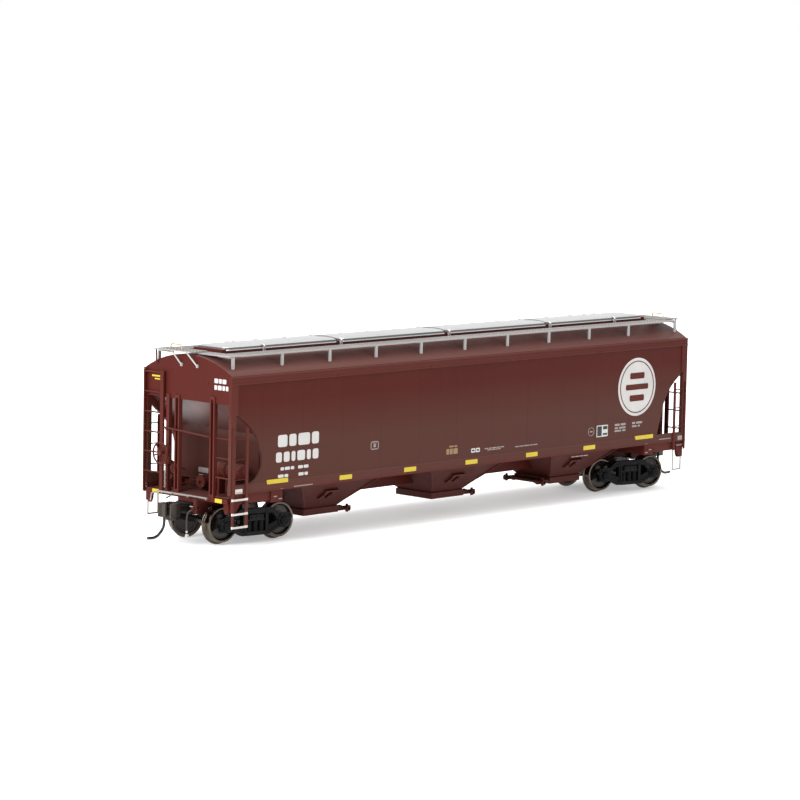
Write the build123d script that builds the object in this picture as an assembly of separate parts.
"""Model of a three-bay covered hopper car for 16.5 mm gauge track (scale 1:87.1).

Millimetres.  +X runs along the car to the plain end (end A), the hand-brake end
(end B) is at -X, +Z is up.  The origin is on the table under the middle of the
car, level with the bottom of the wheel flanges.
"""
import os

from build123d import *

os.makedirs("parts", exist_ok=True)

# ---------------------------------------------------------------- body
END_X = 102.8            # outer face of the end sills and corner posts
BODY_X = 102.4           # outer face of the end plates
BODY_Y = 18.1            # outer face of the side sheets
TRIM_Y = 18.4            # outer face of side sill and top chord
LADDER_Y = 18.75         # outer face of the side ladders
WALL = 1.0               # moulded wall of the body
SHEET = 0.8              # slope sheets and hopper walls
EAVE_Z = 49.8
ROOF_Z = 54.8
CHORD_Z = 47.3           # lower edge of the top chord
SILL_TOP_Z = 18.75
SILL_Z = 15.9            # underside of the side sill
END_PLATE_Z = 41.6       # lower edge of the upper end plates
POST_X = 100.8           # inner face of the corner posts

# ---------------------------------------------------------------- hoppers
BAY_PITCH = 55.3
OUTLET_X = 6.8           # half length and half width of the outlet
OUTLET_Y = 7.1
OUTLET_Z = 7.0
HOPPER_TOP_Z = 17.5
HOPPER_X = 18.3          # half length and half width at the top of a bay
HOPPER_Y = 17.1
RIDGE_Z = 25.4
BULKHEAD_X = 90.0
BULKHEAD_Z = 17.0        # lower edge beside the deck
FRAME_Z = 5.1            # underside of the outlet frames
FRAME_RIM = 0.5          # outlet frame beyond the outlet, all round
GATE_X = 6.2             # half length of the opening under an outlet
GATE_HALF_Y = 6.4        # half width of a gate door
SHAFT_X = 10.9           # operating shaft, from the middle of its bay
RAIL_END_X = 13.0

# ---------------------------------------------------------------- underframe
TRUCK_X = 85.0
SILL_HALF = 2.2          # centre sill
SILL_LOW_Z = 9.8
SILL_HIGH_Z = 14.0
DECK_Z = 14.6            # top of the end platforms
DECK_Y = 12.0
END_SILL_Z = 13.3        # lower edge of the end sill
SKIRT_Z = 13.2           # lower edge of the side plates over the trucks
GUSSET_Z = 10.7

# ---------------------------------------------------------------- roof
COAMING_X = 95.0
COAMING_Y = 6.0
COAMING_Z = 56.1
COVER_Y = 6.4
COVER_TOP_Z = 57.3
COVER_PITCH = 47.2
COVER_LENGTH = 46.8
BOARD_IN_Y = 9.0
BOARD_OUT_Y = 15.0
BOARD_X = 100.8
BOARD_LOW_Z = 54.85
BOARD_HIGH_Z = 55.3
LANDING_X = 104.0        # raised landings over the end ladders
LANDING_HIGH_Z = 55.7
GRAB_Z = 57.05           # middle of the top bar of the roof grab irons
BRACKET_PITCH = 19.5
BRACKET_COUNT = 10
BRACKET_FIRST_X = -99.0

# ---------------------------------------------------------------- ladders
RUNG_R = 0.22
RUNG_PITCH = 5.8
STILE = 0.7

# ---------------------------------------------------------------- hand brake
WHEEL_Y = 8.7
WHEEL_Z = 25.6
TANK_X = -95.0
TANK_Z = 21.7
TANK_R = 2.3
PIPE_Y = -9.9            # brake pipe from the control valve to the tank
PIPE_Z = 18.2

# ---------------------------------------------------------------- trucks
WHEELBASE = 20.4
AXLE_Z = 5.9
TREAD_R = 5.25
FLANGE_R = 5.9
BACK_Y = 7.25            # half of the back-to-back distance
WHEEL_WIDTH = 2.8
FRAME_IN_Y = 10.6
FRAME_OUT_Y = 12.2
JOURNAL_R = 0.5
JOURNAL_GAP = 0.06
KINGPIN_R = 1.0
KINGPIN_GAP = 0.08
BOWL_Z = 9.6             # top of the truck centre bowl
SWIVEL_A = -11.0         # how far each truck stands turned at rest, in degrees
SWIVEL_B = -6.6

# ---------------------------------------------------------------- couplers
COUPLER_X = 98.6         # swing post of the coupler
COUPLER_Z = 10.55        # 9.9 mm above the rail head
LEVER_X = 103.9          # uncoupling lever
LEVER_Z = 14.35
POST_R = 0.8
POST_GAP = 0.06
PIVOT_U = 9.2            # knuckle pin, measured out from the swing post
PIVOT_V = -1.8
PIN_R = 0.35
PIN_GAP = 0.07
TRIP_R = 0.42
TRIP_U = 10.7            # top of the trip pin
HEAD_HALF = 1.9          # half height of the coupler head and knuckle
SHELF_Z = 7.6            # underside of the shelf below the head


# ---------------------------------------------------------------- helpers
def block(x0, x1, y0, y1, z0, z1):
    """Box between two opposite corners."""
    middle = Pos((x0 + x1) / 2, (y0 + y1) / 2, (z0 + z1) / 2)
    return middle * Box(abs(x1 - x0), abs(y1 - y0), abs(z1 - z0))


def rod(start, end, radius):
    """Round bar between two points."""
    a = Vector(*start)
    b = Vector(*end)
    return Part() + Solid.make_cylinder(radius, (b - a).length, Plane(origin=a, z_dir=b - a))


def wire_form(points, radius):
    """Bent wire through a list of points with rounded bends."""
    form = Part()
    for start, end in zip(points, points[1:]):
        form += rod(start, end, radius)
    for bend in points[1:-1]:
        form += Pos(*bend) * Sphere(radius)
    return form


def prism(points, sweep):
    """Straight-sided prism from a closed polygon and a sweep vector."""
    outline = Wire.make_polygon([Vector(*p) for p in points])
    return Part() + Solid.extrude(Face(outline), Vector(*sweep))


def side_prism(points, y0, y1):
    """Polygon given as (x, z), swept from y0 to y1."""
    return prism([(x, y0, z) for x, z in points], (0, y1 - y0, 0))


def end_prism(points, x0, x1):
    """Polygon given as (y, z), swept from x0 to x1."""
    return prism([(x0, y, z) for y, z in points], (x1 - x0, 0, 0))


def plan_prism(points, z0, z1):
    """Polygon given as (x, y), swept from z0 to z1."""
    return prism([(x, y, z0) for x, y in points], (0, 0, z1 - z0))


def turned(shape):
    """The same piece at the opposite end of the car."""
    return Rot(0, 0, 180) * shape


def group(shapes):
    """Several loose solids that share one node."""
    solids = []
    for shape in shapes:
        solids.extend(shape.solids())
    return Compound(children=solids)


nodes = {}


# ---------------------------------------------------------------- body shell
def arch(half, foot_z, spring_z, crown_z, x0, x1):
    """Solid with upright sides and an arched top, swept along the car."""
    outline = [
        Line((-half, foot_z), (-half, spring_z)),
        ThreePointArc((-half, spring_z), (0, crown_z), (half, spring_z)),
        Line((half, spring_z), (half, foot_z)),
        Line((half, foot_z), (-half, foot_z)),
    ]
    return extrude(Plane.YZ.offset(x0) * make_face(outline), x1 - x0)


def end_cut_out():
    """Openings in the two side sheets behind the corner posts of end A."""
    rounded = make_face([
        Line((POST_X, 38.8), (97.4, 36.9)),
        ThreePointArc((97.4, 36.9), (92.3, 31.9), (90.0, 25.0)),
        ThreePointArc((90.0, 25.0), (91.2, 20.9), (95.2, SILL_TOP_Z)),
        Line((95.2, SILL_TOP_Z), (POST_X, SILL_TOP_Z)),
        Line((POST_X, SILL_TOP_Z), (POST_X, 38.8)),
    ])
    sloped = make_face([
        Line((POST_X, 38.8), (98.6, 36.9)),
        ThreePointArc((98.6, 36.9), (94.2, 33.0), (91.6, 28.9)),
        Line((91.6, 28.9), (88.4, SILL_TOP_Z)),
        Line((88.4, SILL_TOP_Z), (POST_X, SILL_TOP_Z)),
        Line((POST_X, SILL_TOP_Z), (POST_X, 38.8)),
    ])
    return extrude(Plane.XZ * rounded, -30) + extrude(Plane.XZ * sloped, 30)


def body_shell():
    shell = arch(BODY_Y, SILL_Z, EAVE_Z, ROOF_Z, -BODY_X, BODY_X)
    shell -= arch(BODY_Y - WALL, SILL_Z - 1, EAVE_Z - WALL, ROOF_Z - WALL, -BODY_X - 1, BODY_X + 1)
    cut = end_cut_out()
    shell -= cut
    shell -= turned(cut)
    plate = arch(BODY_Y - 0.5, END_PLATE_Z, EAVE_Z - 0.5, ROOF_Z - 0.5, BODY_X - WALL, BODY_X)
    shell += plate
    shell += turned(plate)
    for side in (-1, 1):
        chord = [(17.9, EAVE_Z - 0.2), (TRIM_Y, EAVE_Z - 0.2), (TRIM_Y, CHORD_Z), (17.9, CHORD_Z)]
        sill = [(17.1, SILL_TOP_Z), (BODY_Y, SILL_TOP_Z), (TRIM_Y, SILL_TOP_Z - 0.45), (TRIM_Y, SILL_Z),
                (17.1, SILL_Z)]
        shell += end_prism([(side * y, z) for y, z in chord], -END_X, END_X)
        shell += end_prism([(side * y, z) for y, z in sill], -END_X, END_X)
        for end in (-1, 1):
            post = block(end * POST_X, end * END_X, side * 17.3, side * TRIM_Y, SILL_Z, EAVE_Z - 0.2)
            flange = block(end * (POST_X - 0.7), end * END_X, side * 17.9, side * TRIM_Y, 38.6, EAVE_Z - 0.2)
            shell += post
            shell += flange
    coaming = block(-COAMING_X, COAMING_X, -COAMING_Y, COAMING_Y, ROOF_Z - 1.2, COAMING_Z)
    shell += coaming
    shell -= block(-COAMING_X + 0.8, COAMING_X - 0.8, -COAMING_Y + 0.8, COAMING_Y - 0.8, 50, COAMING_Z + 1)
    return shell


nodes["body_shell"] = body_shell()


# ---------------------------------------------------------------- hoppers and slope sheets
def frustum(foot_x, foot_y, top_x, top_y, z0, z1):
    """Solid tapering from a small rectangle at z0 to a large one at z1."""
    foot = Plane.XY.offset(z0) * Rectangle(2 * foot_x, 2 * foot_y)
    top = Plane.XY.offset(z1) * Rectangle(2 * top_x, 2 * top_y)
    return loft([foot, top])


def hopper_bay(x):
    outer = frustum(OUTLET_X, OUTLET_Y, HOPPER_X, HOPPER_Y, OUTLET_Z, HOPPER_TOP_Z)
    inner = frustum(OUTLET_X - 1.1, OUTLET_Y - 1.1, HOPPER_X - 1.1, HOPPER_Y - 1.1, OUTLET_Z, HOPPER_TOP_Z)
    bay = Pos(x, 0, 0) * (outer - inner)
    return bay - centre_sill_bar()


def centre_sill_bar():
    """Space taken by the centre sill."""
    return block(-94, 94, -SILL_HALF, SILL_HALF, SILL_LOW_Z, SILL_HIGH_Z)


def end_slope():
    """End slope sheet with the upright bulkhead that stands over the bolster (end A)."""
    run_x = BODY_X - WALL - BAY_PITCH - HOPPER_X
    drop = (END_PLATE_Z + 0.4 - HOPPER_TOP_Z) / run_x
    head_x = BODY_X - WALL
    foot_x = BAY_PITCH + HOPPER_X
    head_z = HOPPER_TOP_Z + drop * run_x
    sheet = side_prism(
        [(foot_x, HOPPER_TOP_Z), (head_x, head_z), (head_x, head_z + SHEET * 1.3),
         (foot_x - SHEET * 0.6, HOPPER_TOP_Z + 0.5), (foot_x - 1.4, HOPPER_TOP_Z)],
        -HOPPER_Y, HOPPER_Y)
    top_z = head_z - drop * (head_x - BULKHEAD_X)
    wide = side_prism([(BULKHEAD_X - 0.4, BULKHEAD_Z), (BULKHEAD_X + 0.4, BULKHEAD_Z),
                       (BULKHEAD_X + 0.4, top_z + 0.6), (BULKHEAD_X - 0.4, top_z)], -16.9, 16.9)
    foot = block(BULKHEAD_X - 0.4, BULKHEAD_X + 0.4, -DECK_Y, DECK_Y, DECK_Z, BULKHEAD_Z)
    return sheet + wide + foot


def pipe_hole():
    """Hole in the bulkhead of end B for the brake pipe."""
    return rod((-BULKHEAD_X - 1, PIPE_Y, PIPE_Z), (-BULKHEAD_X + 1, PIPE_Y, PIPE_Z), 0.35)


def ridge_sheet(x):
    half = BAY_PITCH / 2 - HOPPER_X
    return side_prism(
        [(x - half, HOPPER_TOP_Z), (x, RIDGE_Z), (x + half, HOPPER_TOP_Z),
         (x + half + 1.1, HOPPER_TOP_Z), (x, RIDGE_Z + 1.1), (x - half - 1.1, HOPPER_TOP_Z)],
        -HOPPER_Y, HOPPER_Y)


nodes["hopper_bay_b"] = hopper_bay(-BAY_PITCH)
nodes["hopper_bay_centre"] = hopper_bay(0)
nodes["hopper_bay_a"] = hopper_bay(BAY_PITCH)
nodes["end_slope_a"] = end_slope()
nodes["end_slope_b"] = turned(end_slope()) - pipe_hole()
nodes["ridge_sheets"] = group([ridge_sheet(-BAY_PITCH / 2), ridge_sheet(BAY_PITCH / 2)])
nodes["ballast_weight"] = block(-44, 44, -9, 9, RIDGE_Z + 1.1, RIDGE_Z + 4.3)


# ---------------------------------------------------------------- outlet gates
def outlet_frame(x, toward):
    """Square outlet frame with two slide rails that run out on one side."""
    outer_x = OUTLET_X + FRAME_RIM
    outer_y = OUTLET_Y + FRAME_RIM
    frame = block(x - outer_x, x + outer_x, -outer_y, outer_y, FRAME_Z, OUTLET_Z)
    frame -= block(x - GATE_X + 0.4, x + GATE_X - 0.4, -6.0, 6.0, 0, 20)
    frame -= block(x - toward * GATE_X, x + toward * (outer_x + 1), -GATE_HALF_Y, GATE_HALF_Y,
                   FRAME_Z + 0.5, FRAME_Z + 1.1)
    for side in (-1, 1):
        frame += block(x + toward * (outer_x - 0.3), x + toward * RAIL_END_X, side * GATE_HALF_Y, side * 7.3,
                       FRAME_Z + 0.2, FRAME_Z + 1.4)
    shaft_x = x + toward * SHAFT_X
    frame -= rod((shaft_x, -9, FRAME_Z + 0.8), (shaft_x, 9, FRAME_Z + 0.8), 0.45)
    return frame


def gate_door(x, toward):
    """Sliding door that closes the outlet from below."""
    return block(x - toward * GATE_X, x + toward * (SHAFT_X - 1.2), -GATE_HALF_Y, GATE_HALF_Y,
                 FRAME_Z + 0.5, FRAME_Z + 1.1)


def gate_shaft(x, toward):
    """Operating shaft across the rails with a locking lug and a square-socket capstan at each side."""
    shaft_x = x + toward * SHAFT_X
    z = FRAME_Z + 0.8
    shaft = rod((shaft_x, -7.6, z), (shaft_x, 7.6, z), 0.45)
    for side in (-1, 1):
        shaft += rod((shaft_x, side * 7.35, z), (shaft_x, side * 8.5, z), 0.8)
        shaft += block(shaft_x - 0.35, shaft_x + 0.35, side * 7.4, side * 7.9, z - 1.1, z + 1.3)
        shaft -= block(shaft_x - 0.4, shaft_x + 0.4, side * 7.95, side * 9, z - 0.4, z + 0.4)
        shaft += rod((shaft_x, side * 4.2, z), (shaft_x, side * 5.2, z), 0.62)
    return shaft


gates = [("b", -BAY_PITCH, 1), ("centre", 0, 1), ("a", BAY_PITCH, -1)]
for tag, x, toward in gates:
    nodes["outlet_frame_" + tag] = outlet_frame(x, toward)
nodes["gate_doors"] = group([gate_door(x, toward) for _, x, toward in gates])
nodes["gate_shafts"] = group([gate_shaft(x, toward) for _, x, toward in gates])


# ---------------------------------------------------------------- underframe
def end_frame():
    """Bolster, deck, side plates, jacking pads and corner gussets of end A."""
    frame = block(TRUCK_X - 2.4, TRUCK_X + 2.4, -17.4, 17.4, 12.6, SILL_HIGH_Z)
    frame += block(82.0, 97.0, -DECK_Y, DECK_Y, SILL_HIGH_Z, DECK_Z)
    frame += Pos(TRUCK_X, 0, (BOWL_Z + SILL_LOW_Z) / 2 + 0.2) * Cylinder(3.2, SILL_LOW_Z - BOWL_Z + 0.4)
    for side in (-1, 1):
        frame += block(82.0, 101.0, side * 17.2, side * 17.9, SKIRT_Z, SILL_Z)
        frame += block(82.0, 86.6, side * 16.0, side * 18.4, 12.6, SILL_Z)
        frame += block(TRUCK_X - 2.4, TRUCK_X + 2.4, side * 12.0, side * 17.4, SILL_HIGH_Z, SILL_Z)
        gusset = [(101.9, SILL_Z), (101.9, GUSSET_Z), (100.3, GUSSET_Z), (98.6, SKIRT_Z), (98.6, SILL_Z)]
        frame += side_prism(gusset, side * 17.4, side * 18.1)
    return frame


def underframe():
    frame = centre_sill_bar()
    frame += end_frame()
    frame += turned(end_frame())
    for end in (-1, 1):
        frame -= block(end * 93.0, end * 95.0, -3, 3, 0, SILL_HIGH_Z)
        frame -= rod((end * TRUCK_X, 0, 0), (end * TRUCK_X, 0, 13.4), KINGPIN_R)
    return frame


nodes["underframe"] = underframe()


def end_platform():
    """Crossover platform with end sill and draft-gear housing sides (end A)."""
    deck = block(97.0, 102.2, -17.2, 17.2, SILL_HIGH_Z, DECK_Z)
    deck += block(102.2, END_X, -17.2, 17.2, END_SILL_Z, DECK_Z)
    deck -= block(102.0, 103.5, -2.9, 2.9, 0, 12.3)
    for side in (-1, 1):
        deck += block(93.6, END_X, side * 2.9, side * 3.4, 8.9, SILL_HIGH_Z)
    deck += block(93.0, END_X, -3.4, 3.4, 12.3, SILL_HIGH_Z)
    for x in (98.2, 99.4, 100.6):
        for side in (-1, 1):
            deck -= block(x - 0.3, x + 0.3, side * 4.8, side * 16.2, 13, 15)
    for side in (-1, 1):
        lug = [(15.1, DECK_Z), (17.2, DECK_Z), (17.2, 11.6), (16.6, 10.3), (15.7, 10.3), (15.1, 11.6)]
        deck += end_prism([(side * y, z) for y, z in lug], 101.5, 102.3)
    return deck


nodes["end_platform_a"] = end_platform()
nodes["end_platform_b"] = turned(end_platform())


# ---------------------------------------------------------------- ladders and posts
def end_ladder():
    """Tall end ladder, two stiles with rungs, on the left of end A."""
    ladder = Part()
    x0 = END_X
    x1 = END_X + STILE
    ladder += block(x0, x1, -17.9, -17.3, 13.6, 49.2)
    ladder += block(x0, x1, -10.8, -9.4, 13.6, 49.2)
    for z in (40.0, 48.6):
        ladder += block(BODY_X, x1, -10.8, -9.4, z, z + 0.6)
    for step in range(6):
        z = 19.6 + step * RUNG_PITCH
        ladder += rod((x1 - 0.3, -17.6, z), (x1 - 0.3, -10.6, z), RUNG_R)
    return ladder


def side_rungs(y, low_z, high_z, rung_heights):
    """Two stiles on the outside of a corner joined by round rungs."""
    ladder = Part()
    y0 = y - 0.35 if y > 0 else y + 0.35
    middle = (y + y0) / 2
    for x, half in ((96.6, 0.5), (102.0, 0.35)):
        ladder += block(x - half, x + half, y0, y, low_z, high_z)
    for z in rung_heights:
        ladder += rod((96.6, middle, z), (102.0, middle, z), RUNG_R * 0.75)
    return ladder


def corner_ladder():
    """Short ladder on the right-hand corner of end A, with three flat low steps."""
    heights = [20.3 + step * RUNG_PITCH for step in range(3)]
    ladder = side_rungs(LADDER_Y, 6.3, 35.2, heights)
    for z in (6.6, 10.4, 14.5):
        ladder += block(96.6, 102.0, TRIM_Y, LADDER_Y, z - 0.28, z + 0.28)
    return ladder


def corner_end_rungs():
    """Rungs between the right-hand post and the corner post on the end face."""
    rungs = Part()
    for step in range(4):
        z = 14.9 + step * 5.6
        rungs += rod((102.0, 11.0, z), (102.0, HOPPER_Y, z), RUNG_R)
    return rungs


def side_ladder():
    """Rungs and stiles over the side opening on the tall-ladder side of end A."""
    return side_rungs(-LADDER_Y, SKIRT_Z, 35.4, [15.0 + step * 6.0 for step in range(4)])


def end_posts():
    """Two upright channel posts, diagonal hand rail and the rungs they carry (end A)."""
    posts = Part()
    for y, top in ((-4.3, 42.7), (10.45, 43.5)):
        channel = block(101.5, BODY_X + 0.4, y - 0.95, y + 0.95, DECK_Z, top)
        channel -= block(102.0, BODY_X + 1, y - 0.45, y + 0.45, DECK_Z + 0.8, top - 0.8)
        posts += channel
    posts += block(101.5, BODY_X + 0.4, -8.8, -7.6, DECK_Z, 42.7)
    rail = [(103.3, -9.2, 33.0), (103.3, 9.2, 32.0), (102.6, 9.8, 32.0)]
    posts += wire_form(rail, 0.25)
    posts += corner_end_rungs()
    for y in (-8.2, -4.95):
        posts += block(BODY_X + 0.2, 103.5, y - 0.3, y + 0.3, 32.3, 33.1)
    clear = arch(BODY_Y - 0.5, END_PLATE_Z, EAVE_Z - 0.5, ROOF_Z - 0.5, BODY_X - WALL, BODY_X)
    return posts - clear


nodes["end_ladder_a"] = end_ladder()
nodes["end_ladder_b"] = turned(end_ladder())
nodes["corner_ladder_a"] = corner_ladder()
nodes["corner_ladder_b"] = turned(corner_ladder())
nodes["side_ladders"] = group([side_ladder(), turned(side_ladder())])
nodes["end_posts_a"] = end_posts()
nodes["end_posts_b"] = turned(end_posts())


def stirrup():
    """Bent-wire sill step under the tall-ladder corner."""
    return wire_form([(97.6, -17.6, SKIRT_Z), (97.6, -17.6, 6.6), (101.4, -17.75, 6.6),
                      (101.4, -17.75, GUSSET_Z)], 0.25)


nodes["stirrup_steps"] = group([stirrup(), turned(stirrup())])


# ---------------------------------------------------------------- roof gear
def running_board():
    """Perforated walkway ring with a raised landing at each end."""
    ring = block(-BOARD_X, BOARD_X, -BOARD_OUT_Y, BOARD_OUT_Y, BOARD_LOW_Z, BOARD_HIGH_Z)
    ring -= block(-96.2, 96.2, -BOARD_IN_Y, BOARD_IN_Y, BOARD_LOW_Z - 1, BOARD_HIGH_Z + 1)
    landing = block(97.4, LANDING_X, -13.0, 2.4, BOARD_HIGH_Z, LANDING_HIGH_Z)
    strut = Part()
    for top_y, foot_y in ((-12.4, -13.2), (-5.9, -2.8), (0.3, 3.8)):
        strut += rod((103.6, top_y, BOARD_HIGH_Z + 0.1), (102.7, foot_y, 51.7), 0.25)
        strut += block(BODY_X, 102.8, foot_y - 0.4, foot_y + 0.4, 51.3, 52.1)
    foot_z = LANDING_HIGH_Z - 0.2
    grab = [(100.6, -9.6, foot_z), (100.6, -9.4, GRAB_Z), (100.6, -5.0, GRAB_Z), (100.6, -4.8, foot_z)]
    half = landing + strut + wire_form(grab, 0.2)
    return ring + half + turned(half)


def board_brackets():
    """Angle legs that carry the outer edges of the walkway on the roof."""
    legs = []
    roof_solid = arch(BODY_Y, SILL_Z, EAVE_Z, ROOF_Z, -BODY_X, BODY_X)
    stations = [BRACKET_FIRST_X + step * BRACKET_PITCH for step in range(BRACKET_COUNT)]
    for x in stations + [BOARD_X - 0.6]:
        leg = block(x - 0.5, x + 0.5, -BOARD_OUT_Y, -BOARD_OUT_Y + 0.4, 50.5, BOARD_LOW_Z)
        arm = block(x - 0.5, x + 0.5, -BOARD_OUT_Y, -BOARD_IN_Y, BOARD_LOW_Z - 0.35, BOARD_LOW_Z)
        bracket = leg + arm - roof_solid
        legs.append(bracket)
        legs.append(turned(bracket))
    return group(legs)


def hatch_cover(x):
    """Long crowned cover that sits on the hatch coaming."""
    x0 = x - COVER_LENGTH / 2
    x1 = x + COVER_LENGTH / 2
    cover = arch(COVER_Y, COAMING_Z - 0.5, COAMING_Z + 0.6, COVER_TOP_Z, x0, x1)
    cover -= arch(COVER_Y - 0.4, 50, COAMING_Z + 0.25, COVER_TOP_Z - 0.45, x0 + 0.4, x1 - 0.4)
    cover -= block(-COAMING_X - 0.01, COAMING_X + 0.01, -COAMING_Y, COAMING_Y, 50, COAMING_Z)
    return cover


def hatch_clamps():
    """Hold-down clamps along both edges of the hatch covers."""
    clamps = []
    for x in (-79.0, -47.2, 0, 47.2, 79.0):
        for side in (-1, 1):
            foot = block(x - 0.7, x + 0.7, side * (COVER_Y + 0.02), side * 7.4, 54.0, 54.9)
            arm = block(x - 0.45, x + 0.45, side * (COVER_Y + 0.02), side * 7.0, 54.5, 56.9)
            clamps.append(foot + arm - arch(BODY_Y, SILL_Z, EAVE_Z, ROOF_Z, -BODY_X, BODY_X))
    return group(clamps)


nodes["running_board"] = running_board()
nodes["running_board_brackets"] = board_brackets()
for number in range(4):
    nodes["hatch_cover_" + str(number + 1)] = hatch_cover((number - 1.5) * COVER_PITCH)
nodes["hatch_clamps"] = hatch_clamps()


# ---------------------------------------------------------------- brake gear at end B
def brake_wheel():
    """Hand-brake wheel: rim, five spokes and hub, facing out from end B."""
    centre = Pos(-105.0, WHEEL_Y, WHEEL_Z) * Rot(0, 90, 0)
    wheel = centre * Torus(3.0, 0.25)
    wheel += centre * Cylinder(0.7, 0.9)
    for step in range(5):
        spoke = Pos(1.65, 0, 0) * Box(2.6, 0.35, 0.3)
        wheel += centre * Rot(0, 0, 72 * step) * spoke
    wheel += rod((-104.8, WHEEL_Y, WHEEL_Z), (-104.0, WHEEL_Y, WHEEL_Z), 0.3)
    return wheel


def brake_housing():
    """Gear housing behind the brake wheel with its chain rod down to the deck."""
    housing = block(-104.0, -END_X, 6.5, 9.2, 23.6, 27.8)
    housing += Pos(-103.4, 7.7, 23.8) * Rot(0, 90, 0) * Cylinder(1.5, 1.2)
    housing += rod((-103.2, 7.6, 22.8), (-103.2, 7.6, 15.4), 0.3)
    return housing + block(-103.6, -END_X, 7.2, 8.0, 15.0, 15.8)


def tank_bar(radius):
    """Round bar along the axis of the air tank."""
    return rod((TANK_X, -15.6, TANK_Z), (TANK_X, -4.6, TANK_Z), radius)


def air_reservoir():
    """Two-chamber air tank lying across the deck on two saddles."""
    tank = fillet(tank_bar(TANK_R).edges(), 0.9)
    tank += rod((TANK_X, -9.9, TANK_Z), (TANK_X, -9.3, TANK_Z), TANK_R + 0.2)
    for y in (-11.2, -6.4):
        tank += block(TANK_X - 1.2, TANK_X + 1.2, y - 0.4, y + 0.4, DECK_Z, TANK_Z - 1.2)
    return tank


def brake_cylinder():
    """Brake cylinder with its push rod, in the middle of the deck."""
    body = rod((-96.4, 1.0, 17.4), (-91.6, 1.0, 17.4), 1.9)
    body += rod((-91.8, 1.0, 17.4), (-91.3, 1.0, 17.4), 2.2)
    body += rod((-97.3, 1.0, 17.4), (-96.2, 1.0, 17.4), 0.35)
    body += block(-95.0, -92.4, 0.3, 1.7, DECK_Z, 16.4)
    return body


def control_valve():
    """Control valve body with its bracket and pipe to the tank."""
    valve = block(-89.2, -86.8, -11.4, -8.4, DECK_Z + 0.8, 19.0)
    valve += block(-88.6, -87.4, -10.6, -9.2, DECK_Z, DECK_Z + 1)
    valve += rod((-88.0, -12.4, 17.2), (-88.0, -11.2, 17.2), 1.0)
    pipe = [(-89.0, PIPE_Y, PIPE_Z), (-94.0, PIPE_Y, PIPE_Z), (TANK_X, PIPE_Y, TANK_Z - TANK_R)]
    valve += wire_form(pipe, 0.28)
    return valve - tank_bar(TANK_R + 0.2)


nodes["brake_wheel"] = brake_wheel()
nodes["brake_housing"] = brake_housing()
nodes["air_reservoir"] = air_reservoir()
nodes["brake_cylinder"] = brake_cylinder()
nodes["control_valve"] = control_valve()


# ---------------------------------------------------------------- couplers (built at end A)
def coupler_box():
    """Draft-gear box with the post the coupler swings on."""
    box = block(94.8, 103.4, -2.9, 2.9, 8.9, 12.3)
    box -= block(95.6, 104.0, -2.2, 2.2, 9.6, 11.6)
    box += rod((COUPLER_X, 0, 9.4), (COUPLER_X, 0, 11.8), POST_R)
    box -= rod((COUPLER_X, 0, 8.0), (COUPLER_X, 0, 12.3), 0.4)
    return box


def coupler():
    """Coupler shank and head, with the lugs and pin that carry the knuckle."""
    z0 = COUPLER_Z
    at = Pos(COUPLER_X, 0, z0)
    body = at * Cylinder(1.7, 1.6)
    body += block(COUPLER_X, COUPLER_X + 8.0, -1.1, 1.1, z0 - 0.8, z0 + 0.8)
    head = [(7.4, -1.1), (8.2, -2.5), (PIVOT_U, -2.6), (PIVOT_U, -1.0), (9.9, -0.7), (9.9, 0.9), (11.2, 1.6),
            (12.6, 2.3), (12.8, 3.1), (10.6, 3.0), (8.4, 2.3), (7.4, 1.1)]
    body += plan_prism([(COUPLER_X + u, v) for u, v in head], z0 - HEAD_HALF, z0 + HEAD_HALF)
    shelf = [(8.2, -0.6), (11.4, -0.6), (11.4, 1.4), (10.4, 2.6), (8.6, 2.2)]
    body += plan_prism([(COUPLER_X + u, v) for u, v in shelf], SHELF_Z, z0)
    pivot = Pos(COUPLER_X + PIVOT_U, PIVOT_V, z0)
    body += pivot * Cylinder(0.8, 2 * HEAD_HALF)
    pocket = plan_prism([(COUPLER_X + u, v) for u, v in ((8.0, -3.5), (8.0, -0.7), (11, -0.7), (11, -3.5))],
                        z0 - 0.75, z0 + 0.75)
    body -= pocket
    body += pivot * Cylinder(PIN_R, 2.0)
    body -= at * Cylinder(POST_R + POST_GAP, 4)
    return body


def knuckle():
    """Hooked jaw that turns on the coupler pin."""
    z0 = COUPLER_Z
    pivot = Pos(COUPLER_X + PIVOT_U, PIVOT_V, z0)
    tang = pivot * Cylinder(0.95, 1.4)
    neck = [(9.2, -2.4), (10.6, -2.4), (10.6, -1.3), (9.2, -1.3)]
    tang += plan_prism([(COUPLER_X + u, v) for u, v in neck], z0 - 0.7, z0 + 0.7)
    jaw = [(10.25, -2.8), (12.4, -2.8), (13.5, -1.7), (13.6, 0.1), (13.0, 0.9), (12.2, 0.8), (12.2, -0.6),
           (11.7, -1.15), (10.25, -1.15)]
    body = tang + plan_prism([(COUPLER_X + u, v) for u, v in jaw], z0 - HEAD_HALF, z0 + HEAD_HALF)
    body -= pivot * Cylinder(PIN_R + PIN_GAP, 3)
    return body - rod((COUPLER_X + TRIP_U, -2.0, 8.0), (COUPLER_X + TRIP_U, -2.0, 10.2), TRIP_R)


def trip_pin():
    """Curved iron pin that hangs from the knuckle and sweeps out under the head."""
    x = COUPLER_X + TRIP_U
    y = -2.0
    path = Line((x, y, 10.2), (x, y, 7.4)) + Spline(
        (x, y, 7.4), (x + 0.6, y, 4.8), (x + 2.3, y, 3.2), (COUPLER_X + 17.0, y, 2.65),
        tangents=[(0, 0, -1), (1, 0, 0.1)])
    section = Plane(origin=(x, y, 10.2), z_dir=(0, 0, -1)) * Circle(TRIP_R)
    return sweep(section, path=path)


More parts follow.
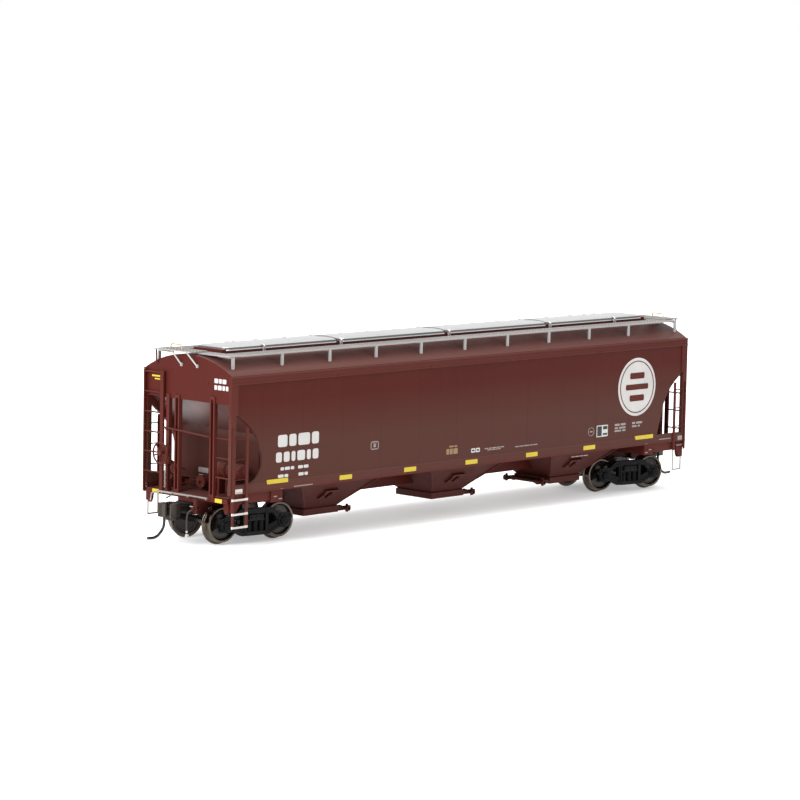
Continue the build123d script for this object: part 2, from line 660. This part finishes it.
def box_screw():
    """Countersunk screw that closes the draft-gear box from below."""
    screw = rod((COUPLER_X, 0, 8.9), (COUPLER_X, 0, 12.3), 0.4)
    screw += rod((COUPLER_X, 0, 8.2), (COUPLER_X, 0, 8.9), 1.2)
    return screw - block(COUPLER_X - 1.5, COUPLER_X + 1.5, -0.15, 0.15, 8.0, 8.5)


def cut_lever():
    """Uncoupling lever that runs along the end sill, with its arm over the coupler."""
    bar = [(LEVER_X, -10.0, LEVER_Z), (LEVER_X, 10.0, LEVER_Z)]
    handle = [(LEVER_X, -10.0, LEVER_Z), (LEVER_X, -13.4, 13.4), (LEVER_X, -13.8, 11.2)]
    arm = [(LEVER_X, -4.4, LEVER_Z), (105.2, -4.2, 13.6), (107.2, -3.8, 13.3)]
    lever = wire_form(bar, 0.3) + wire_form(handle, 0.22) + wire_form(arm, 0.22)
    for y in (-8.9, 2.0, 9.6):
        lever += block(END_X, LEVER_X + 0.2, y - 0.25, y + 0.25, LEVER_Z - 0.5, LEVER_Z + 0.2)
    return lever


def air_hose():
    """Rigid train-line hose with angle cock and coupling head."""
    cock = block(END_X, 104.2, 3.5, 4.5, 9.8, 11.0) + block(END_X, 103.3, 3.5, 4.9, 9.4, 13.6)
    route = [(103.9, 4.0, 10.5), (104.9, 3.4, 10.2), (105.0, 2.95, 8.8), (104.9, 2.7, 4.2),
             (104.6, 2.6, 3.2)]
    hose = wire_form(route, 0.32)
    head = block(103.9, 105.0, 2.0, 3.2, 2.2, 3.3)
    return cock + hose + head


nodes["coupler_box_a"] = coupler_box()
nodes["coupler_box_b"] = turned(coupler_box())
nodes["coupler_box_screws"] = group([box_screw(), turned(box_screw())])
nodes["coupler_a"] = coupler()
nodes["coupler_b"] = turned(coupler())
nodes["knuckle_a"] = knuckle()
nodes["knuckle_b"] = turned(knuckle())
nodes["trip_pin_a"] = trip_pin()
nodes["trip_pin_b"] = turned(trip_pin())
nodes["cut_levers"] = group([cut_lever(), turned(cut_lever())])
nodes["air_hoses"] = group([air_hose(), turned(air_hose())])


# ---------------------------------------------------------------- trucks (built on the origin)
def sideframe():
    """One cast sideframe on the +Y side, with window, openings and spring nest."""
    axle_x = WHEELBASE / 2
    outline = [(-5.6, 10.2), (5.6, 10.2), (8.6, 8.2), (12.6, 8.0), (13.4, 6.9), (12.6, 5.9), (12.3, 4.0),
               (8.4, 4.0), (5.0, 2.4), (-5.0, 2.4), (-8.4, 4.0), (-12.3, 4.0), (-12.6, 5.9), (-13.4, 6.9),
               (-12.6, 8.0), (-8.6, 8.2)]
    frame = side_prism(outline, FRAME_IN_Y, FRAME_OUT_Y)
    for end in (-1, 1):
        hole = [(4.6, 5.0), (4.6, 8.4), (5.6, 8.6), (7.6, 7.2), (7.6, 6.2)]
        frame -= side_prism([(end * x, z) for x, z in hole], FRAME_IN_Y - 1, FRAME_OUT_Y + 1)
        frame += rod((end * axle_x, FRAME_IN_Y, AXLE_Z), (end * axle_x, FRAME_OUT_Y + 0.3, AXLE_Z), 2.1)
    frame -= block(-3.3, 3.3, FRAME_IN_Y - 1, FRAME_OUT_Y + 1, 3.6, 8.7)
    for x in (-2.2, 0, 2.2):
        frame += rod((x, 11.5, 3.3), (x, 11.5, 6.7), 0.7)
    frame += block(-3.6, 3.6, FRAME_OUT_Y - 0.1, FRAME_OUT_Y + 0.3, 2.4, 3.5)
    for end in (-1, 1):
        frame -= rod((end * axle_x, FRAME_IN_Y - 1, AXLE_Z), (end * axle_x, FRAME_OUT_Y + 1, AXLE_Z),
                     JOURNAL_R + JOURNAL_GAP)
    return frame


def truck_bolster():
    """Truck bolster with centre bowl and side-bearing pads."""
    bolster = block(-2.6, 2.6, -12.0, 12.0, 6.7, 8.5)
    bolster += Cylinder(3.4, 1.6).moved(Location((0, 0, BOWL_Z - 0.8)))
    for side in (-1, 1):
        bolster += block(-1.6, 1.6, side * 6.2, side * 8.2, 8.5, 9.2)
    bolster -= Pos(0, 0, 8) * Cylinder(KINGPIN_R + KINGPIN_GAP, 10)
    return bolster


def wheel(side):
    """Metal wheel with flange toward the middle of the car, web and hub."""
    y_back = side * BACK_Y
    y_face = side * (BACK_Y + WHEEL_WIDTH)
    disc = rod((0, y_back, AXLE_Z), (0, side * (BACK_Y + 0.7), AXLE_Z), FLANGE_R)
    disc = chamfer(disc.edges().sort_by(lambda e: abs(e.center().Y))[-1], 0.35)
    disc += rod((0, y_back, AXLE_Z), (0, y_face, AXLE_Z), TREAD_R)
    disc -= rod((0, side * (BACK_Y + 1.7), AXLE_Z), (0, side * 12, AXLE_Z), 4.4)
    disc += rod((0, side * (BACK_Y + 1), AXLE_Z), (0, side * (BACK_Y + 2.7), AXLE_Z), 1.5)
    disc -= rod((0, side * 6, AXLE_Z), (0, side * 12, AXLE_Z), 0.8)
    return disc


def wheelset():
    """Axle with its two wheels."""
    axle = rod((0, -10.1, AXLE_Z), (0, 10.1, AXLE_Z), 0.8)
    axle += rod((0, -12.6, AXLE_Z), (0, 12.6, AXLE_Z), JOURNAL_R)
    return [axle, wheel(-1), wheel(1)]


def bearing_caps():
    """Roller-bearing end caps that turn with the axle."""
    caps = []
    for side in (-1, 1):
        cap = rod((0, side * 12.6, AXLE_Z), (0, side * 13.2, AXLE_Z), 1.35)
        for angle in (30, 150, 270):
            bolt = Rot(0, angle, 0) * rod((0.85, side * 13.2, 0), (0.85, side * 13.4, 0), 0.22)
            cap += Pos(0, 0, AXLE_Z) * bolt
        caps.append(cap)
    return caps


def place_truck(tag, x, spin):
    """Put one truck, its two wheelsets and bearing caps under the car."""
    at = Pos(x, 0, 0) * Rot(0, 0, spin)
    nodes["truck_" + tag + "_bolster"] = at * truck_bolster()
    frame = sideframe()
    nodes["truck_" + tag + "_sideframes"] = group([at * frame, at * Rot(0, 0, 180) * frame])
    for place, end in (("outer", 1), ("inner", -1)):
        offset = Pos(end * WHEELBASE / 2, 0, 0)
        nodes["wheelset_" + tag + "_" + place] = group([at * offset * s for s in wheelset()])
        nodes["bearing_caps_" + tag + "_" + place] = group([at * offset * s for s in bearing_caps()])


place_truck("a", TRUCK_X, SWIVEL_A)
place_truck("b", -TRUCK_X, 180 + SWIVEL_B)


def kingpin_screw(x):
    """Shouldered screw that holds a truck to the underframe."""
    screw = rod((x, 0, 6.4), (x, 0, 13.4), KINGPIN_R)
    screw += rod((x, 0, 5.2), (x, 0, 6.4), 2.0)
    return screw - block(x - 2.5, x + 2.5, -0.2, 0.2, 5.0, 5.7)


nodes["kingpin_screws"] = group([kingpin_screw(-TRUCK_X), kingpin_screw(TRUCK_X)])

for name, shape in nodes.items():
    export_step(shape, "parts/" + name + ".step")
print(len(nodes), "nodes")
